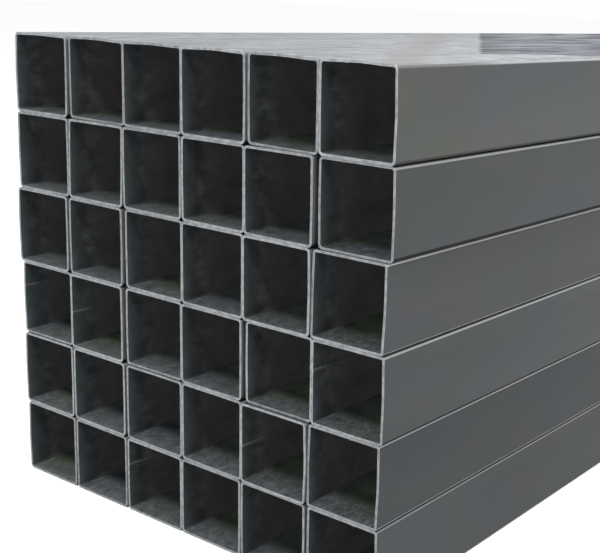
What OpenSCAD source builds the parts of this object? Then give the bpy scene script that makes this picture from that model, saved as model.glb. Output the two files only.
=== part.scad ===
// A stack of square hollow-section steel tubes, six wide and six high.
// +X runs across the stack, +Y along the tubes and +Z up. The origin is on
// the ground under the middle of the stack, and the near ends face -Y.
// All sizes are in millimetres.

/* [Tube] */
// Outside width and height of each tube
tube_side = 100; // [60:5:150]
// Thickness of the tube wall
tube_wall = 3; // [2:0.5:5]
// Length of each tube
tube_length = 6000; // [1000:500:12000]

/* [Stack] */
// Share of the laid-out gaps, row shifts and uneven ends that is used, 0 for a perfect stack
looseness = 1; // [0:0.25:1]
// How far the ends of the uneven tubes stand out or sit back
end_step = 2; // [0:0.5:5]

/* [Hidden] */
// The outside corners are rolled to two wall thicknesses, the inside to one
outer_r = 2 * tube_wall;
inner_r = tube_wall;

// Space between neighbours in each row, from the left, rows from the top down
GAPS = [
    [3, 0, 0, 2, 0],
    [1, 1, 1, 0, 5],
    [4, 4, 0, 0, 1],
    [0, 5, 0, 5, 0],
    [2, 4, 0, 0, 2],
    [2, 2, 0, 1, 4],
];
// How far each row's middle lies to the right of the stack's middle
SHIFTS = [3, 3, -2.5, -0.5, -1.5, 0];
// Tubes, as [row, column], whose near ends stand out, and those whose near ends sit back
PROUD = [[1, 4], [2, 5], [3, 5], [5, 5]];
SUNK = [[1, 2], [2, 6], [3, 3], [4, 1], [4, 3], [4, 5]];

rows = len(GAPS);
columns = len(GAPS[0]) + 1;

function tube_name(row, column) = str("tube_row", row, "_col", column);

function is_in(tube, list) = len([for (listed = list) if (listed == tube) listed]) > 0;

function sum_to(list, count) = count == 0 ? 0 : list[count - 1] + sum_to(list, count - 1);

function row_width(row) =
    columns * tube_side + looseness * sum_to(GAPS[row - 1], columns - 1);

// Middle of a tube's section across the stack
function tube_x(row, column) =
    looseness * SHIFTS[row - 1] - row_width(row) / 2
    + (column - 0.5) * tube_side
    + looseness * sum_to(GAPS[row - 1], column - 1);

// Middle of a tube's length; all tubes are as long, so the far ends are as uneven
function tube_y(row, column) =
    looseness * end_step * (is_in([row, column], SUNK) ? 1 : is_in([row, column], PROUD) ? -1 : 0);

// Middle of a tube's section above the ground; row 1 is the top row
function tube_z(row) = (rows - row + 0.5) * tube_side;

module rounded_square(side, r) {
    square([side, side - 2 * r], center = true);
    square([side - 2 * r, side], center = true);
    for (x = [-1, 1], y = [-1, 1])
        translate([x, y] * (side / 2 - r))
            circle(r, $fn = 48);
}

module tube_section() {
    difference() {
        rounded_square(tube_side, outer_r);
        rounded_square(tube_side - 2 * tube_wall, inner_r);
    }
}

module tube(row, column) {
    color([0.42, 0.44, 0.45])
        translate([tube_x(row, column), tube_y(row, column), tube_z(row)])
            rotate([90, 0, 0])
                linear_extrude(height = tube_length, center = true)
                    tube_section();
}

for (r = [1 : rows], c = [1 : columns])
    tube(r, c);
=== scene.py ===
# Looks of the stack of steel tubes: every tube is one mesh built round its
# own node of the frame, with rolled corners, slightly crowned walls, a weld
# bead inside and sawn ends. All lengths are in metres.
import math
import random
from collections import namedtuple

import bpy
import numpy as np
from mathutils import Matrix, Vector


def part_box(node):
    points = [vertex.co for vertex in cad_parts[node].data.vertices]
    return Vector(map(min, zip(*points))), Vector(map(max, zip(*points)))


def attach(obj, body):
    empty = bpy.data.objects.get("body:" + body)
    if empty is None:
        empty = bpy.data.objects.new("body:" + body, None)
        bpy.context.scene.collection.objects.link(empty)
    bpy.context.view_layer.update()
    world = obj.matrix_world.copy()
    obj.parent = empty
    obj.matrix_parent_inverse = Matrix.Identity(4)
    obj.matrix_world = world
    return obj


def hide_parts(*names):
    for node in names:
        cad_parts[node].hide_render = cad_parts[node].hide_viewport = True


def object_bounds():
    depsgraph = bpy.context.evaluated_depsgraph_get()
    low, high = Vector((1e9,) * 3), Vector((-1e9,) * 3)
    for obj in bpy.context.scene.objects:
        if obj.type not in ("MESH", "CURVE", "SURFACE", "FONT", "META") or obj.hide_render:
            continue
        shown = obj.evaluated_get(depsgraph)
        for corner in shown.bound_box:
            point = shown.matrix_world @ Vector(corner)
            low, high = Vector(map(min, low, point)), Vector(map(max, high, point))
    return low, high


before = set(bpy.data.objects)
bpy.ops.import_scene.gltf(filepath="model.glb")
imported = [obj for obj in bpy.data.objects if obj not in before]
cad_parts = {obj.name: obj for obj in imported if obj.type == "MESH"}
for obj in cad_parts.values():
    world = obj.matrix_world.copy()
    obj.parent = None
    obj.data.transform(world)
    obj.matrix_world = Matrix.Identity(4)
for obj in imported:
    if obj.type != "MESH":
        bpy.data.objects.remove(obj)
cad_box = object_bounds()

MM = 0.001

# ---- the tubes' shape ------------------------------------------------------
RIGHT, TOP, LEFT, BOTTOM = range(4)
ROWS, COLUMNS = 6, 6
WALL = 3.0 * MM
OUTER_RADIUS = 6.0 * MM
TIGHT_INNER = 1.5 * MM     # least inside radius, on the tightest corners
CORNER_STEPS = 9           # segments in each rounded corner
WALL_STEPS = 24            # segments across each flat wall
SLACK = 0.15 * MM          # how far the corners lie inside the nominal square
FREE_BULGE = 1.0 * MM      # most that a wall bulges on the outside of the stack
GAP_BULGE = 0.3 * MM       # most where there is a gap beside the wall
GAP_SHARE = 0.4            # most of that gap that a bulge takes up
LEAST_SHARE = 0.4          # least bulge drawn, as a share of the most

# The weld seam: a bead inside, and a scarfed groove outside
BEAD_HEIGHT = 0.6 * MM
BEAD_WIDTH = 1.6 * MM
GROOVE_DEPTH = 0.12 * MM
SEAM_SPAN = 50 * MM        # length that a place from 0 to 1 counts as, in sizing the bead
# Points across the bead, and how far the evenly spaced points keep off it, in
# bead widths
BEAD_POINTS = (-3, -1.5, -0.75, 0, 0.75, 1.5, 3)
BEAD_CLEAR = 4
HIDDEN_SEAM_REACH = 0.5    # furthest that an unseen seam lies from its wall's middle

# The sawn ends
DEBURR = 0.18 * MM         # chamfer on the sawn edges
RAGGED = 0.13 * MM         # roughness of the sawn edges
MOST_RAGGED = 1.5          # roughest step, next to RAGGED
# Rings of points across the sawn face: share of the wall, and depth of the dip
CUT_RINGS = [(0.28, 0.1 * MM), (0.72, 0.1 * MM)]
# Distances from a sawn end at which a tube has rings of points after the
# one at its chamfer, and the number of rings between the last ones
END_RINGS = [4 * MM, 12 * MM, 30 * MM, 70 * MM, 110 * MM, 150 * MM, 200 * MM, 300 * MM]
MIDDLE_RINGS = 14

# Seams that can be seen inside the tubes: (wall, place from -1 to 1 along it)
SEAMS = {
    (4, 1): (LEFT, -0.35),
    (4, 2): (LEFT, 0.05),
    (4, 6): (LEFT, -0.3),
    (5, 5): (LEFT, 0.1),
    (6, 3): (LEFT, -0.3),
    (5, 4): (BOTTOM, 0.25),
}
# How far the tops of the tubes lean to the right and their undersides to the
# left, in the first column and the last, and tubes with a lean of their own
LEAN_AT_LEFT, LEAN_AT_RIGHT = 0.4 * MM, -0.8 * MM
OWN_LEANS = {(1, 1): 1.0 * MM, (2, 2): 1.5 * MM, (3, 6): 0.5 * MM, (5, 6): 0.0}
# How far the left side of a tube is raised and its right side lowered
TILTS = {(1, 2): 0.5 * MM, (1, 5): 0.7 * MM, (3, 2): 0.2 * MM, (5, 4): 0.2 * MM}
# Walls that bulge into the gap beside them more than the rest
BULGES = {(5, 5, RIGHT): 1.2 * MM, (5, 6, LEFT): 0.6 * MM, (3, 5, RIGHT): 0.5 * MM}
# Outer corner radius of the tubes that are rolled tighter than the rest
RADII = {(3, 6): 4.5 * MM, (4, 6): 4.5 * MM, (5, 6): 3.6 * MM, (6, 6): 3.6 * MM}

# ---- marks on single tubes -------------------------------------------------
# In degrees: the upper corners are worn bright and carry a painted highlight,
# brightest at this angle above level and less so over this spread, and the
# lower ones carry painted shade, darkest from this angle below level on
WORN_HIGHLIGHT_ANGLE, WORN_HIGHLIGHT_SPREAD = 40.0, 19.0
CREVICE_SHADE_ANGLE = 35.0
# How bright the upper corners are worn and painted with highlight, and how
# much painted shade darkens the lower ones where they face the crevice between
# tubes. With less than no shade a lower corner is painted bright as well.
WEAR_HIGHLIGHT_AND_CREVICE_SHADE = {
    (1, 6): (0.48, 0.6),
    (2, 6): (0.31, 3.0),
    (3, 6): (0.84, -0.65),
    (4, 6): (0.30, 1.7),
    (5, 6): (0.55, -1.0),
    (6, 6): (0.16, 0.5),
}
USUAL_WEAR_HIGHLIGHT, USUAL_CREVICE_SHADE = 0.35, 1.0
# The top row has this share of its wear and painted highlight up to the first
# distance from a sawn end, and all of it from the second one on
TOP_WEAR_HIGHLIGHT_SHARE = 0.35
TOP_WEAR_HIGHLIGHT_REACH = (0.13, 0.2)
# Shade of the tubes whose sides show, from -1 (dark, cool) to 1 (light, warm)
TONES = {(1, 6): 1.0, (2, 6): -0.15, (3, 6): -0.2, (4, 6): -0.45, (5, 6): -0.95, (6, 6): -0.4}
# Tubes whose sides grow darker away from the sawn end: share lost
FADES = {(1, 6): 0.05, (3, 6): 0.10, (5, 6): 0.20, (6, 6): 0.24}
FADE_REACH = 0.3           # distance from the end at which all of it is lost
# Tubes with a warmer stretch: distances from the end where it is nil and
# full. The others only grow a little warmer from WARM_FROM towards the middle.
WARM_STRETCHES = {(1, 6): (0.18, 0.11), (3, 6): (0.06, 0.16)}
WARM_FROM = 1.0
# How much painted light lies on the floor inside the tubes, next to the usual,
# in the first column and in the last one, and how much lighter it gets with each row down
FLOOR_AT_LEFT, FLOOR_AT_RIGHT = 1.45, 0.9
FLOOR_PER_ROW = 0.07
SHUFFLE = 40.0             # furthest that a tube's textures are moved, to differ from the rest

# ---- marks by place --------------------------------------------------------
# Grey of the dark scale on the walls and the floor inside, by distance from the
# sawn end, with painted light and shade: painted light at the mouth where light
# falls in, painted shade a little behind it, and painted light again further in,
# lifting the parts that little light reaches.
WALL_SHADES = [(0.0, 0.062), (0.003, 0.050), (0.008, 0.040), (0.015, 0.031), (0.025, 0.031),
               (0.042, 0.063), (0.064, 0.093), (0.078, 0.108), (0.095, 0.15), (0.13, 0.25)]
GROUND_SHADES = [(0.005, 0.064), (0.015, 0.052), (0.03, 0.044), (0.045, 0.040), (0.055, 0.052),
                 (0.065, 0.10), (0.08, 0.165)]
SHADES_SPAN = 0.15         # distance that both lists are spread over
# The oiled stain on top starts this far from the near end at the right edge,
# goes further back for each metre to the left, and leaves out the strip
# nearest the right edge and a slanting corner beside it
STAIN_START = 0.143
STAIN_SLANT = 1.605
STAIN_INSET = 0.013
STAIN_CORNER = 0.475
STAIN_EDGE = 0.012         # width over which its outline blurs
STAIN_WANDER = 0.008       # how far its outline wanders
STAIN_FADES = (1.7, 2.9)   # distances from the near end over which it dies away

Outline = namedtuple("Outline", "points normals corner near_seam")
# One ring of points round a tube: its points in the section, its distance
# along the tube, the band of faces after it, and 1 if it is a sawn edge
Ring = namedtuple("Ring", "points at band edge")

# The way each band of faces looks: away from the tube's middle (1), towards
# it (-1) or neither (0), and to the far end (1), the near one (-1) or neither
BANDS = {
    "outer": (1, 0),
    "far_outer_chamfer": (1, 1),
    "far_end": (0, 1),
    "far_inner_chamfer": (-1, 1),
    "inner": (-1, 0),
    "near_inner_chamfer": (-1, -1),
    "near_end": (0, -1),
    "near_outer_chamfer": (1, -1),
}
# Finish on each band, in the order of the materials; the rest are sawn
FINISHES = {"outer": 0, "inner": 1}
SAWN_FINISH = 2


def tube_name(row, column):
    return f"tube_row{row}_col{column}"


def across_stack(column, at_left, at_right):
    """Value in a column, between those in the first column and the last."""
    return at_left + (at_right - at_left) * (column - 1) / (COLUMNS - 1)


def wall_gap(row, column, wall):
    """Free space outside a tube's wall, or None where nothing is beside it."""
    low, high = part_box(tube_name(row, column))
    if wall == RIGHT and column < COLUMNS:
        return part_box(tube_name(row, column + 1))[0].x - high.x
    if wall == LEFT and column > 1:
        return low.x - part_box(tube_name(row, column - 1))[1].x
    if wall == TOP and row > 1 or wall == BOTTOM:
        return 0.0
    return None


def crowns(row, column, rng):
    """How far the middle of each wall stands out from its corners."""
    out = []
    for wall in range(4):
        gap = wall_gap(row, column, wall)
        most = FREE_BULGE if gap is None else min(GAP_SHARE * gap, GAP_BULGE)
        drawn = rng.uniform(LEAST_SHARE, 1.0) * most
        out.append(SLACK + BULGES.get((row, column, wall), drawn))
    return out


def wall_places(seam_at=None):
    """Places of the points across a flat wall, from -1 to 1, with closer ones
    across the seam if it has one."""
    places = list(np.linspace(-1.0, 1.0, WALL_STEPS + 1))
    if seam_at is not None:
        step = BEAD_WIDTH / SEAM_SPAN
        across_bead = [seam_at + k * step for k in BEAD_POINTS]
        places = [p for p in places if abs(p - seam_at) > BEAD_CLEAR * step] + across_bead
        places.sort()
    return places


def corner_mark(spoke):
    """How much a corner point is worn bright with a painted highlight (to 1) or
    darkened with painted shade (to -1), by its height.
    """
    height = math.degrees(math.asin(spoke[1]))
    if height > 0:
        return math.exp(-((height - WORN_HIGHLIGHT_ANGLE) / WORN_HIGHLIGHT_SPREAD) ** 2)
    return max(height, -CREVICE_SHADE_ANGLE) / CREVICE_SHADE_ANGLE


def section(half, radius, crown, lean, tilt, seam, bead):
    """Outline of one face of the tube wall, anticlockwise from the lower end
    of the right wall: points, outward normals, how much each point is worn and
    painted with highlight or darkened with painted shade, and how near the seam
    it is (0 to 1)."""
    flat = half - radius - SLACK
    base = half - SLACK
    seam_wall, seam_at = seam
    points, normals, corner, near_seam = [], [], [], []
    for wall in range(4):
        angle = wall * math.pi / 2
        out = np.array([math.cos(angle), math.sin(angle)])
        along = np.array([-math.sin(angle), math.cos(angle)])
        has_seam = wall == seam_wall
        for s in wall_places(seam_at if has_seam else None):
            rise = crown[wall] * (0.5 + 0.5 * math.cos(math.pi * s))
            slope = -crown[wall] * 0.5 * math.pi * math.sin(math.pi * s) / flat
            near = 0.0
            if has_seam:
                off = (s - seam_at) * SEAM_SPAN / BEAD_WIDTH
                near = math.exp(-off * off)
                rise -= bead * near
                slope += bead * near * 2 * off / BEAD_WIDTH
            points.append(out * (base + rise) + along * (s * flat))
            normals.append(out - along * slope)
            corner.append(0.0)
            near_seam.append(near)
        centre = (out + along) * flat
        reach = base - flat
        for k in range(1, CORNER_STEPS):
            turn = angle + (math.pi / 2) * k / CORNER_STEPS
            spoke = np.array([math.cos(turn), math.sin(turn)])
            points.append(centre + spoke * reach)
            normals.append(spoke)
            corner.append(corner_mark(spoke))
            near_seam.append(0.0)
    points, normals = np.array(points), np.array(normals)
    leaning = lean * points[:, 1] / half
    raised = -tilt * points[:, 0] / half
    points[:, 0] += leaning
    points[:, 1] += raised
    normals /= np.linalg.norm(normals, axis=1, keepdims=True)
    return Outline(points, normals, np.array(corner), np.array(near_seam))


def ring_places(length):
    """Distances from the near end of every ring of points along a tube."""
    middle = list(np.linspace(END_RINGS[-1], length - END_RINGS[-1], MIDDLE_RINGS))
    near = [DEBURR] + END_RINGS[:-1]
    return near + middle + [length - d for d in reversed(near)]


def rough(count, rng, size):
    """Small uneven steps, one for each point round a sawn edge."""
    steps = np.array([rng.gauss(0.0, 1.0) for _ in range(count)])
    eased = 0.5 * steps + 0.25 * np.roll(steps, 1) + 0.25 * np.roll(steps, -1)
    return size * np.clip(eased, -MOST_RAGGED, MOST_RAGGED)[:, None]


def tube_rings(outer, inner, length, rng):
    """Rings of a whole tube: along its outside, across the far sawn face,
    back along its inside and across the near sawn face."""
    count = len(outer.points)

    def sawn_edge(outline, into_wall):
        drawn_back = DEBURR + np.abs(rough(count, rng, RAGGED))
        return outline.points + into_wall * outline.normals * drawn_back

    def sawn_face(start, stop, at, inward, kind, last_band):
        face = [Ring(start, at, kind, 1.0)]
        for share, dip in CUT_RINGS:
            face.append(Ring(start + (stop - start) * share, at + inward * dip, kind, 0.0))
        return face + [Ring(stop, at, last_band, 1.0)]

    places = ring_places(length)
    outside = [Ring(outer.points, at, "outer", 0.0) for at in places]
    outside[-1] = Ring(outer.points, places[-1], "far_outer_chamfer", 1.0)
    inside = [Ring(inner.points, at, "inner", 0.0) for at in reversed(places)]
    inside[-1] = Ring(inner.points, places[0], "near_inner_chamfer", 1.0)

    start, stop = sawn_edge(outer, -1.0), sawn_edge(inner, 1.0)
    far_face = sawn_face(start, stop, length, -1.0, "far_end", "far_inner_chamfer")
    rough(2 * count, rng, RAGGED)   # passed over: the near edges are drawn from further on
    start, stop = sawn_edge(inner, 1.0), sawn_edge(outer, -1.0)
    near_face = sawn_face(start, stop, 0.0, 1.0, "near_end", "near_outer_chamfer")
    return outside + far_face + inside + near_face


def band_normals(band, outer, inner):
    """Way that the surface of a band looks, at each point of the outline."""
    outward, endways = BANDS[band]
    outline = inner if outward < 0 else outer
    looks = np.empty((len(outline.points), 3))
    looks[:, 0] = outward * outline.normals[:, 0]
    looks[:, 1] = endways
    looks[:, 2] = outward * outline.normals[:, 1]
    return looks / math.hypot(outward, endways)


def ring_mesh(name, rings, outer, inner, centre):
    """Mesh through all rings and back to the first one, and its points. The
    centre is the middle of the tube's nominal near end."""
    count = len(outer.points)
    index = np.arange(count)
    after = (index + 1) % count
    verts, faces, finishes, loop_normals = [], [], [], []
    for i, ring in enumerate(rings):
        points = np.tile(centre, (count, 1))
        points[:, 0] += ring.points[:, 0]
        points[:, 1] += ring.at
        points[:, 2] += ring.points[:, 1]
        verts.append(points)
        here, there = i * count, (i + 1) % len(rings) * count
        quad = np.stack([here + index, here + after, there + after, there + index], 1)
        faces.append(quad[:, ::-1])
        n = band_normals(ring.band, outer, inner)
        loop_normals.append(np.stack([n[index], n[after], n[after], n[index]], 1)[:, ::-1])
        finishes.append(np.full(count, FINISHES.get(ring.band, SAWN_FINISH)))
    verts = np.concatenate(verts)
    faces = np.concatenate(faces)
    mesh = bpy.data.meshes.new(name)
    mesh.from_pydata(verts.tolist(), [], faces.tolist())
    mesh.polygons.foreach_set("material_index", np.concatenate(finishes).astype(np.int32))
    mesh.polygons.foreach_set("use_smooth", np.ones(len(faces), bool))
    mesh.normals_split_custom_set(np.concatenate(loop_normals).reshape(-1, 3))
    return mesh, verts


def marks_round(row, column, outer, crevice_shade):
    """What the materials read that differs from point to point of an outline."""
    sideways, upwards = outer.normals[:, 0], outer.normals[:, 1]
    nothing = np.zeros(len(outer.points))
    right = np.clip(sideways, 0.0, 1.0) if column < COLUMNS else nothing
    left = np.clip(-sideways, 0.0, 1.0) if column > 1 else nothing
    # painted shade on the lower corners, or a corner painted bright where there is less than no
    # shade
    shaded_crevice = np.maximum(outer.corner * crevice_shade, -1.0)
    return {
        "corner": np.where(outer.corner > 0.0, outer.corner, shaded_crevice),
        "seam": outer.near_seam,
        "upward": np.clip(upwards, 0.0, 1.0) ** 2 if row == 1 else nothing,
        "floor": np.clip(-upwards, 0.0, 1.0) ** 2,
        "beside": right + left,
    }


def marks_along(row, column, verts, low, high, wear_highlight):
    """What the materials read that goes by a point's place in the tube or in
    the stack."""
    length = high.y - low.y
    from_end = verts[:, 1] - low.y
    nearest_end = np.minimum(from_end, length - from_end)
    worn_highlight = wear_highlight * np.ones(len(verts))
    if row == 1:
        worn_highlight = wear_highlight * np.interp(nearest_end, TOP_WEAR_HIGHLIGHT_REACH, [TOP_WEAR_HIGHLIGHT_SHARE, 1.0])
    nil, full = WARM_STRETCHES.get((row, column), (WARM_FROM, WARM_FROM + length))
    fade = FADES.get((row, column), 0.0)
    return {
        "wear_highlight": worn_highlight,
        "warm": np.clip((nearest_end - nil) / (full - nil), 0.0, 1.0),
        "fading": 1.0 - fade * np.clip(nearest_end / FADE_REACH, 0.0, 1.0),
        "depth": nearest_end,
        "height": (verts[:, 2] - low.z) / (high.z - low.z),
        "along": verts[:, 1] - cad_box[0].y,
        "aside": cad_box[1].x - verts[:, 0],
    }


def tube_mesh(name, row, column, rng):
    low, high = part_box(name)
    half = (high.z - low.z) / 2
    length = high.y - low.y
    crown = crowns(row, column, rng)
    usual_lean = across_stack(column, LEAN_AT_LEFT, LEAN_AT_RIGHT)
    lean = OWN_LEANS.get((row, column), usual_lean)
    tilt = TILTS.get((row, column), 0.0)
    hidden_wall = RIGHT if column < COLUMNS else TOP
    hidden = (hidden_wall, rng.uniform(-HIDDEN_SEAM_REACH, HIDDEN_SEAM_REACH))
    seam = SEAMS.get((row, column), hidden)
    radius = RADII.get((row, column), OUTER_RADIUS)
    inner_radius = max(radius - WALL, TIGHT_INNER)
    outer = section(half, radius, crown, lean, tilt, seam, GROOVE_DEPTH)
    inner = section(half - WALL, inner_radius, crown, lean, tilt, seam, BEAD_HEIGHT)
    rings = tube_rings(outer, inner, length, rng)
    centre = np.array([(low.x + high.x) / 2, low.y, (low.z + high.z) / 2])
    mesh, verts = ring_mesh(name, rings, outer, inner, centre)

    wear_highlight, crevice_shade = WEAR_HIGHLIGHT_AND_CREVICE_SHADE.get((row, column), (USUAL_WEAR_HIGHLIGHT, USUAL_CREVICE_SHADE))
    marks = marks_along(row, column, verts, low, high, wear_highlight)
    for label, around in marks_round(row, column, outer, crevice_shade).items():
        marks[label] = np.tile(around, len(rings))
    marks["edge"] = np.repeat([ring.edge for ring in rings], len(outer.points))
    # painted light on the floor inside this tube
    lighter = across_stack(column, FLOOR_AT_LEFT, FLOOR_AT_RIGHT)
    lighter += FLOOR_PER_ROW * (row - (ROWS + 1) / 2)
    marks["ground"] = np.full(len(verts), lighter)
    marks["tone"] = np.full(len(verts), TONES.get((row, column), rng.uniform(-1.0, 1.0)))
    marks["shuffle"] = np.full(len(verts), rng.uniform(0.0, SHUFFLE))
    for label, values in marks.items():
        layer = mesh.attributes.new(label, "FLOAT", "POINT")
        layer.data.foreach_set("value", values.astype(np.float32))
    mesh.update()
    return mesh


# ---- materials -------------------------------------------------------------
def colour(red, green, blue):
    return (red, green, blue, 1.0)


def grey(shade):
    return colour(shade, shade, shade)


class Nodes:
    """Short helpers for building one node material."""

    def __init__(self, name):
        self.material = bpy.data.materials.new(name)
        self.material.use_nodes = True
        self.tree = self.material.node_tree
        self.shader = self.tree.nodes["Principled BSDF"]

    def node(self, kind, **settings):
        made = self.tree.nodes.new(kind)
        for key, value in settings.items():
            setattr(made, key, value)
        return made

    def link(self, a, b):
        self.tree.links.new(a, b)

    def put(self, socket, value):
        if hasattr(value, "is_linked"):
            self.link(value, socket)
        else:
            socket.default_value = value

    def attribute(self, label):
        return self.node("ShaderNodeAttribute", attribute_name=label).outputs["Fac"]

    def math(self, operation, a, b):
        made = self.node("ShaderNodeMath", operation=operation)
        self.put(made.inputs[0], a)
        self.put(made.inputs[1], b)
        return made.outputs[0]

    def plus(self, a, b):
        return self.math("ADD", a, b)

    def minus(self, a, b):
        return self.math("SUBTRACT", a, b)

    def times(self, a, b):
        return self.math("MULTIPLY", a, b)

    def least(self, a, b):
        return self.math("MINIMUM", a, b)

    def place(self, scale):
        """Object coordinates, moved by each tube's own amount and scaled."""
        where = self.node("ShaderNodeTexCoord").outputs["Object"]
        shuffle = self.attribute("shuffle")
        moved = self.node("ShaderNodeVectorMath", operation="ADD")
        self.link(where, moved.inputs[0])
        self.link(shuffle, moved.inputs[1])
        scaled = self.node("ShaderNodeMapping")
        scaled.inputs["Scale"].default_value = scale
        self.link(moved.outputs[0], scaled.inputs["Vector"])
        return scaled.outputs[0]

    def noise(self, scale, detail=3.0, roughness=0.5, distortion=0.0):
        made = self.node("ShaderNodeTexNoise")
        self.link(self.place(scale), made.inputs["Vector"])
        made.inputs["Scale"].default_value = 1.0
        made.inputs["Detail"].default_value = detail
        made.inputs["Roughness"].default_value = roughness
        made.inputs["Distortion"].default_value = distortion
        return made.outputs["Fac"]

    def range(self, value, low, high, to_low, to_high):
        made = self.node("ShaderNodeMapRange")
        self.link(value, made.inputs["Value"])
        for key, v in (("From Min", low), ("From Max", high),
                       ("To Min", to_low), ("To Max", to_high)):
            made.inputs[key].default_value = v
        return made.outputs["Result"]

    def ramp(self, value, stops):
        """Grey shade by distance: stops are (distance, shade), nearest first."""
        made = self.node("ShaderNodeValToRGB")
        self.link(self.range(value, 0, SHADES_SPAN, 0, 1), made.inputs["Fac"])
        elements = made.color_ramp.elements
        elements.remove(elements[1])
        for i, (distance, shade) in enumerate(stops):
            at = distance / SHADES_SPAN
            element = elements.new(at) if i else elements[0]
            element.position = at
            element.color = grey(shade)
        return made.outputs["Color"]

    def mix(self, factor, a, b, blend="MIX"):
        made = self.node("ShaderNodeMix", data_type="RGBA", blend_type=blend)
        self.put(made.inputs["Factor"], factor)
        self.put(made.inputs[6], a)
        self.put(made.inputs[7], b)
        return made.outputs[2]

    def tint(self, factor, base, by):
        return self.mix(factor, base, by, "MULTIPLY")

    def scale(self, shade, by):
        """A colour made lighter or darker by a factor."""
        made = self.node("ShaderNodeVectorMath", operation="SCALE")
        self.link(shade, made.inputs[0])
        self.link(by, made.inputs["Scale"])
        return made.outputs[0]

    def bump(self, height, strength, distance):
        made = self.node("ShaderNodeBump")
        made.inputs["Strength"].default_value = strength
        made.inputs["Distance"].default_value = distance
        self.link(height, made.inputs["Height"])
        return made.outputs[0]


DARK_SKIN, LIGHT_SKIN = colour(0.0245, 0.0292, 0.0317), colour(0.067, 0.0725, 0.0725)
WARMTH = colour(1.06, 1.0, 0.88)
# Faint patches of greenish, purplish and bluish hue on the sides: how fine
# they are, the noise at which the hue is full, and the hue
SKIN_HUES = [
    ((15, 9, 15), 0.60, colour(0.95, 1.015, 0.965)),
    ((12, 11, 12), 0.60, colour(1.045, 0.97, 1.0)),
    ((8, 6, 8), 0.62, colour(0.94, 1.0, 1.06)),
]
# bare metal of the weld bead inside, and painted light in the gaps beside the sawn ends
BARE_METAL_AND_GAP_LIGHT = colour(0.2, 0.21, 0.22)
# painted light from above on the tops, in dull and light streaks
TOP_PAINTED_LIGHT_DULL, TOP_PAINTED_LIGHT_BRIGHT = colour(0.17, 0.18, 0.19), colour(0.31, 0.32, 0.34)
SPECK = colour(0.6, 0.6, 0.61)
DARK_OIL, LIGHT_OIL = colour(0.053, 0.064, 0.071), colour(0.208, 0.218, 0.242)
OIL_RIM = colour(0.045, 0.047, 0.055)
SMUDGE = colour(0.215, 0.195, 0.19)
# painted shade for the lower corners, where they face the crevice between tubes
CREVICE_SHADE_COLOUR = colour(0.004, 0.004, 0.005)
# worn bright and painted highlight on the upper corners
FAINT_WEAR_HIGHLIGHT, FULL_WEAR_HIGHLIGHT = colour(0.08, 0.083, 0.085), colour(0.88, 0.885, 0.89)


def mill_skin(n, streaks, blotches):
    """Colour of the sides: dark grey, faintly mottled and streaked, with painted
    light beside the sawn ends on the sides that face a neighbour.
    """
    tone = n.range(n.attribute("tone"), -1, 1, 0, 1)
    skin = n.mix(tone, DARK_SKIN, LIGHT_SKIN)
    skin = n.tint(n.attribute("warm"), skin, WARMTH)
    for fineness, full, hue in SKIN_HUES:
        patches = n.noise(fineness, detail=1, distortion=0.4)
        skin = n.tint(n.range(patches, 0.5, full, 0, 1), skin, hue)
    skin = n.mix(n.range(blotches, 0.5, 0.75, 0, 0.2), skin, colour(0.095, 0.1, 0.102))
    skin = n.mix(n.range(streaks, 0.55, 0.8, 0, 0.05), skin, colour(0.12, 0.125, 0.13))
    skin = n.scale(skin, n.attribute("fading"))
    # painted light: the sides that face a neighbour are painted lighter beside the
    # sawn ends, where light falls into the gaps between the tubes
    gap_light = n.times(n.range(n.attribute("depth"), 0.001, 0.007, 1, 0),
                    n.range(n.attribute("beside"), 0.5, 1.0, 0, 0.65))
    return n.mix(gap_light, skin, BARE_METAL_AND_GAP_LIGHT)


def top_with_painted_light(n, slant, streaks, bands):
    """Colour of the tops outside the oiled stain: pale with painted light from
    above, cloudy and streaked.
    """
    along, aside = n.attribute("along"), n.attribute("aside")
    clouds = n.noise((14, 5.0, 14), detail=3, roughness=0.6, distortion=0.8)
    specks = n.noise((170, 60, 170), detail=2, roughness=0.6)
    mottles = n.noise((48, 26, 48), detail=3, roughness=0.6)
    # painted light from above makes the tops pale, in streaks
    pale = n.mix(n.range(streaks, 0.35, 0.65, 0, 1), TOP_PAINTED_LIGHT_DULL, TOP_PAINTED_LIGHT_BRIGHT)
    pale = n.mix(n.range(bands, 0.5, 0.7, 0, 0.35), pale, colour(0.38, 0.39, 0.40))
    pale = n.tint(n.range(clouds, 0.5, 0.62, 0, 1), pale, colour(0.89, 0.895, 0.93))
    pale = n.mix(n.range(specks, 0.64, 0.72, 0, 0.5), pale, SPECK)
    pale = n.scale(pale, n.range(mottles, 0.35, 0.65, 0.84, 1.12))
    # painted highlight: light patches near the right edge, from about 0.2 m back
    glare = n.times(n.range(aside, 0.03, 0.09, 1, 0), n.range(along, 0.16, 0.22, 0, 1))
    glare = n.times(glare, n.range(mottles, 0.4, 0.6, 0.0, 0.5))
    pale = n.mix(glare, pale, colour(0.37, 0.38, 0.40))
    rim_specks = n.times(n.range(mottles, 0.56, 0.64, 0, 0.4), n.range(along, 0.0, 0.03, 1, 0))
    pale = n.mix(rim_specks, pale, SPECK)
    # darker towards the near left, and in a strip along the right edge
    pale = n.scale(pale, n.range(slant, -0.46, 0.08, 0.85, 1.05))
    strip = n.times(n.range(aside, 0.013, 0.03, 1, 0), n.range(along, 0.18, 0.26, 0, 0.16))
    pale = n.scale(pale, n.minus(1.0, strip))
    # a brownish smudge along a slanting line from the near right corner
    smudge = n.times(n.range(slant, -0.06, -0.02, 0, 1), n.range(slant, 0.02, 0.06, 0.6, 0))
    return n.mix(smudge, pale, SMUDGE)


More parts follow.
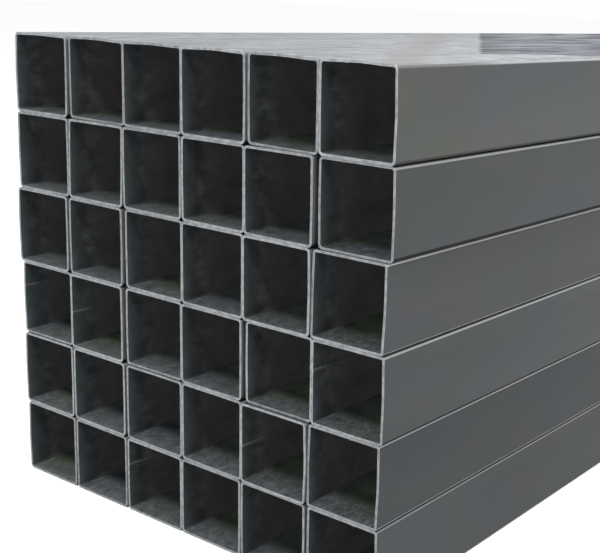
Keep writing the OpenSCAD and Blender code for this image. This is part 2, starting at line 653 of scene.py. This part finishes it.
def oil_stain(n, across, slant, streaks, bands):
    """Colour of the oiled stain on the tops, and how strong it is."""
    along, aside = n.attribute("along"), n.attribute("aside")
    # roughly how far inside the outline of the stain a point lies
    reach = n.least(n.minus(slant, STAIN_START), n.minus(aside, STAIN_INSET))
    reach = n.least(reach, n.minus(n.plus(along, across), STAIN_CORNER))
    reach = n.plus(reach, n.range(bands, 0.3, 0.7, -STAIN_WANDER, STAIN_WANDER))
    strength = n.times(n.range(reach, 0, STAIN_EDGE, 0, 1), n.range(bands, 0.35, 0.5, 0.65, 1))
    strength = n.times(strength, n.range(along, *STAIN_FADES, 1, 0))
    oil_bands = n.noise((15, 3.2, 15), detail=4, roughness=0.65, distortion=1.0)
    oiled = n.mix(n.range(oil_bands, 0.4, 0.6, 0, 1), DARK_OIL, LIGHT_OIL)
    oiled = n.tint(n.range(streaks, 0.4, 0.6, 0, 0.6), oiled, colour(0.75, 0.75, 0.77))
    return n.mix(n.range(reach, 0.008, 0.1, 0.6, 0), oiled, OIL_RIM), strength


def outer_steel():
    """Cold-rolled mill finish: matt dark grey, faintly mottled, with upper corners
    worn bright and painted with highlight, lower ones darkened with painted shade,
    painted light on the sides beside the sawn ends where they face a gap, and
    streaked tops made pale with painted light from above, with a darker oiled stain."""
    n = Nodes("mill_finish_and_painted_light")
    streaks = n.noise((260, 1.6, 260), detail=4, roughness=0.6)
    blotches = n.noise((9, 2.2, 9), detail=3, roughness=0.55, distortion=0.6)
    top_streaks = n.noise((330, 12, 330), detail=5, roughness=0.65, distortion=0.3)
    top_bands = n.noise((60, 3.0, 60), detail=3, roughness=0.6, distortion=0.8)
    across = n.times(n.attribute("aside"), STAIN_SLANT)
    slant = n.minus(n.attribute("along"), across)
    # the tops are pale with painted light from above, with an oiled stain
    pale = top_with_painted_light(n, slant, top_streaks, top_bands)
    oiled, stained = oil_stain(n, across, slant, top_streaks, top_bands)
    on_top = n.range(n.attribute("upward"), 0.06, 0.4, 0, 1)
    base = n.mix(on_top, mill_skin(n, streaks, blotches), n.mix(stained, pale, oiled))

    corner = n.attribute("corner")
    # painted shade: the lower corners go almost black where they face the crevice between tubes
    base = n.mix(n.range(corner, -0.9, -0.1, 0.98, 0), base, CREVICE_SHADE_COLOUR)
    # the upper corners are worn bright and carry a painted highlight
    bright = n.mix(n.attribute("wear_highlight"), FAINT_WEAR_HIGHLIGHT, FULL_WEAR_HIGHLIGHT)
    bright = n.tint(n.range(streaks, 0.35, 0.65, 1, 0), bright, grey(0.75))
    worn_highlight = n.range(corner, 0.35, 0.8, 0, 1)
    base = n.mix(worn_highlight, base, bright)
    base = n.mix(n.range(n.attribute("seam"), 0.05, 1.0, 0, 0.3), base, colour(0.15, 0.16, 0.17))
    n.link(base, n.shader.inputs["Base Color"])

    # oil, and the painted shade in the lower corners, make the steel shine less like
    # metal and rougher, and the tops are a little rougher than the sides
    dull = n.times(stained, on_top)
    shaded_crevice = n.range(corner, -0.9, -0.1, 1, 0)
    metal = n.plus(n.range(dull, 0, 1, 0.35, 0.05), n.range(worn_highlight, 0, 1, 0, 0.2))
    n.link(n.times(metal, n.minus(1.0, shaded_crevice)), n.shader.inputs["Metallic"])
    n.shader.inputs["Specular IOR Level"].default_value = 0.25
    roughness = n.plus(n.range(blotches, 0.3, 0.7, 0.44, 0.54),
                       n.range(streaks, 0.3, 0.7, -0.02, 0.03))
    duller = n.plus(n.range(dull, 0, 1, 0, 0.25), n.range(on_top, 0, 1, 0, 0.1))
    roughness = n.plus(n.plus(roughness, duller), n.range(shaded_crevice, 0, 1, 0, 0.4))
    n.link(roughness, n.shader.inputs["Roughness"])
    n.link(n.bump(streaks, 0.06, 0.3 * MM), n.shader.inputs["Normal"])
    return n.material


def scale_and_painted_light_walls(n, depth, uneven, clouds):
    """Colour of the side walls and the ceiling inside, with painted light and
    shade by distance from the mouth.
    """
    height = n.attribute("height")
    # the painted light band at the mouth is widest low down
    slope = n.range(depth, 0.03, 0.06, 0.015, -0.004)
    slanted = n.times(n.minus(height, 0.3), slope)
    wall = n.ramp(n.plus(depth, n.plus(slanted, uneven)), WALL_SHADES)
    # painted light: the walls are lighter low down further in
    low_down = n.times(n.range(height, 0.05, 0.35, 0.45, 0), n.range(depth, 0.045, 0.06, 0, 1))
    wall = n.scale(wall, n.plus(1.0, low_down))
    hue = n.mix(n.range(clouds, 0.35, 0.65, 0, 1), colour(0.82, 1.01, 1.17),
                colour(0.89, 1.09, 1.02))
    hue = n.mix(n.range(depth, 0.01, 0.04, 0, 1), hue, colour(1.01, 0.97, 1.02))
    return n.tint(1.0, wall, hue)


def scale_and_painted_light_floor(n, depth, uneven, clouds):
    """Colour of the floor inside: scratched, rubbed lighter near the mouth, and
    painted with the light that falls in at the mouth, fading further in.
    """
    ground = n.ramp(n.plus(depth, uneven), GROUND_SHADES)
    # each tube's own painted light counts only near its mouth
    usual = n.range(depth, 0.045, 0.06, 0, 1)
    own = n.times(n.minus(n.attribute("ground"), 1.0), n.minus(1.0, usual))
    ground = n.scale(ground, n.plus(1.0, own))
    hue = n.mix(n.range(clouds, 0.4, 0.6, 0, 1), colour(0.88, 1.02, 1.10),
                colour(0.92, 1.055, 1.015))
    green = n.times(n.range(clouds, 0.4, 0.6, 0, 0.9), n.range(depth, 0.015, 0.05, 0, 1))
    hue = n.mix(green, hue, colour(0.94, 1.26, 0.78))
    ground = n.tint(1.0, ground, hue)
    scratches = n.noise((250, 110, 250), detail=4, roughness=0.7, distortion=0.8)
    rubbed = n.times(n.range(scratches, 0.46, 0.66, 0, 0.45), n.range(depth, 0.03, 0.05, 1, 0))
    ground = n.mix(rubbed, ground, colour(0.15, 0.165, 0.172))
    return n.scale(ground, n.range(scratches, 0.34, 0.5, 0.7, 1.0))


def inner_steel():
    """The inside of the tube: dull grey scale with painted light and shade, lit at
    the mouth and darkest a little behind it, greenish on the floor, with painted
    shade in the lower corners and a weld bead that is paler near the ends."""
    n = Nodes("inner_scale_and_painted_light")
    speckle = n.noise((180, 60, 180), detail=4, roughness=0.7)
    clouds = n.noise((16, 9, 16), detail=3, distortion=0.5)
    ragged = n.noise((70, 45, 70), detail=3, roughness=0.65)
    floor = n.attribute("floor")
    depth = n.attribute("depth")
    uneven = n.plus(n.range(clouds, 0.3, 0.7, -0.004, 0.004),
                    n.range(ragged, 0.3, 0.7, -0.006, 0.006))
    wall = scale_and_painted_light_walls(n, depth, uneven, clouds)
    ground = scale_and_painted_light_floor(n, depth, uneven, clouds)
    base = n.mix(n.range(floor, 0.3, 0.9, 0, 1), wall, ground)
    mottle = n.times(n.range(ragged, 0.35, 0.65, -0.3, 0.3), n.range(depth, 0.02, 0.05, 1, 0.2))
    base = n.scale(base, n.plus(1.0, mottle))
    # painted shade darkens the rounded corners beside the floor
    corner_shade = n.times(n.range(floor, 0.03, 0.3, 0, 0.35), n.range(floor, 0.7, 0.97, 1, 0))
    base = n.scale(base, n.minus(1.0, corner_shade))
    base = n.mix(n.range(speckle, 0.5, 0.8, 0, 0.15), base, colour(0.10, 0.11, 0.11))
    bead = n.times(n.range(n.attribute("seam"), 0.1, 1.0, 0, 0.4),
                   n.range(depth, 0.012, 0.04, 1, 0.1))
    base = n.mix(bead, base, BARE_METAL_AND_GAP_LIGHT)
    n.link(base, n.shader.inputs["Base Color"])
    n.shader.inputs["Metallic"].default_value = 0.1
    n.shader.inputs["Specular IOR Level"].default_value = 0.3
    n.link(n.range(speckle, 0.3, 0.7, 0.5, 0.65), n.shader.inputs["Roughness"])
    n.link(n.bump(speckle, 0.25, 0.3 * MM), n.shader.inputs["Normal"])
    return n.material


def sawn_steel():
    """Bare metal where the saw went through, brightest on its raised edges
    and lighter along the top of the stack."""
    n = Nodes("sawn_end")
    lines = n.noise((35, 1, 2600), detail=3, roughness=0.6)
    patches = n.noise((140, 1, 140), detail=3)
    base = n.mix(n.range(patches, 0.35, 0.65, 0, 1), colour(0.268, 0.284, 0.296),
                 colour(0.145, 0.154, 0.160))
    base = n.mix(n.range(lines, 0.45, 0.8, 0, 0.4), base, colour(0.30, 0.317, 0.33))
    base = n.mix(n.range(n.attribute("edge"), 0.2, 1.0, 0, 0.5), base, colour(0.35, 0.368, 0.38))
    base = n.scale(base, n.range(n.attribute("tone"), -1, 1, 0.88, 1.12))
    base = n.scale(base, n.range(n.attribute("upward"), 0.3, 0.9, 1.0, 1.16))
    base = n.mix(n.range(n.attribute("seam"), 0.6, 1.0, 0, 0.25), base, grey(0.07))
    n.link(base, n.shader.inputs["Base Color"])
    n.shader.inputs["Metallic"].default_value = 0.7
    n.link(n.range(lines, 0.3, 0.7, 0.4, 0.55), n.shader.inputs["Roughness"])
    n.link(n.bump(lines, 0.3, 0.2 * MM), n.shader.inputs["Normal"])
    return n.material


# ---- the stage -------------------------------------------------------------
FLOOR_SIZE = 120.0
FLOOR_SHADE = 0.97
FLOOR_ROUGHNESS, FLOOR_SPECULAR = 0.9, 0.1
WORLD_STRENGTH = 1.0
# Area lights: name, place, the point it aims at, size and power in watts
LIGHTS = [
    ("overhead", (0.9, -1.6, 4.2), (0.2, -1.4, 0.6), (3.0, 4.0), 60.0),
    ("front", (1.2, -5.2, 4.6), (0.0, -3.0, 0.3), (0.9, 0.9), 190.0),
]
# Place of the camera from the stack's near upper right corner, the angles in
# degrees that it is turned left, down and on its side, and its lens in mm
CAMERA_FROM_CORNER = Vector((0.64665, -0.8996, 0.0616))
CAMERA_YAW = 35.63
CAMERA_PITCH = 15.38
CAMERA_ROLL = 2.55
CAMERA_LENS = 67.24
CAMERA_SENSOR = 36.0
CAMERA_SHIFT = (-0.15, 0.05)
CAMERA_CLIP = (0.02, 200.0)


def make_floor():
    side = FLOOR_SIZE / 2
    mesh = bpy.data.meshes.new("floor")
    mesh.from_pydata([(-side, -side, 0), (side, -side, 0), (side, side, 0), (-side, side, 0)],
                     [], [(0, 1, 2, 3)])
    floor = bpy.data.objects.new("floor", mesh)
    bpy.context.scene.collection.objects.link(floor)
    material = bpy.data.materials.new("pale_floor")
    material.use_nodes = True
    shader = material.node_tree.nodes["Principled BSDF"]
    shader.inputs["Base Color"].default_value = grey(FLOOR_SHADE)
    shader.inputs["Roughness"].default_value = FLOOR_ROUGHNESS
    shader.inputs["Specular IOR Level"].default_value = FLOOR_SPECULAR
    mesh.materials.append(material)


def make_light(name, place, target, size, power):
    light = bpy.data.lights.new(name, "AREA")
    light.shape = "RECTANGLE"
    light.size, light.size_y = size
    light.energy = power
    made = bpy.data.objects.new(name, light)
    made.location = place
    made.rotation_euler = (Vector(target) - Vector(place)).to_track_quat("-Z", "Y").to_euler()
    made.visible_camera = False
    bpy.context.scene.collection.objects.link(made)


def make_world():
    world = bpy.data.worlds.new("studio")
    world.use_nodes = True
    back = world.node_tree.nodes["Background"]
    back.inputs["Color"].default_value = grey(1.0)
    back.inputs["Strength"].default_value = WORLD_STRENGTH
    bpy.context.scene.world = world


def make_camera():
    low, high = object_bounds()
    corner = Vector((high.x, low.y, high.z))
    yaw, pitch, roll = map(math.radians, (CAMERA_YAW, CAMERA_PITCH, CAMERA_ROLL))
    ahead = Vector((-math.sin(yaw) * math.cos(pitch), math.cos(yaw) * math.cos(pitch),
                    -math.sin(pitch)))
    right = ahead.cross(Vector((0, 0, 1))).normalized()
    right = Matrix.Rotation(-roll, 3, ahead) @ right
    up = right.cross(ahead)
    camera = bpy.data.objects.new("camera", bpy.data.cameras.new("camera"))
    bpy.context.scene.collection.objects.link(camera)
    turn = Matrix((right, up, -ahead)).transposed()
    camera.matrix_world = Matrix.Translation(corner + CAMERA_FROM_CORNER) @ turn.to_4x4()
    camera.data.sensor_width = CAMERA_SENSOR
    camera.data.lens = CAMERA_LENS
    camera.data.shift_x, camera.data.shift_y = CAMERA_SHIFT
    camera.data.clip_start, camera.data.clip_end = CAMERA_CLIP
    bpy.context.scene.camera = camera


make_camera()
make_floor()
make_world()
for light in LIGHTS:
    make_light(*light)
bpy.context.scene.view_settings.view_transform = "Standard"

# in the order that FINISHES and SAWN_FINISH count them
finishes = [outer_steel(), inner_steel(), sawn_steel()]
for row in range(1, ROWS + 1):
    for column in range(1, COLUMNS + 1):
        node = tube_name(row, column)
        rng = random.Random(100 * row + column)
        mesh = tube_mesh(node, row, column, rng)
        for finish in finishes:
            mesh.materials.append(finish)
        tube = bpy.data.objects.new("steel_" + node, mesh)
        bpy.context.scene.collection.objects.link(tube)
        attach(tube, "root")
        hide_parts(node)
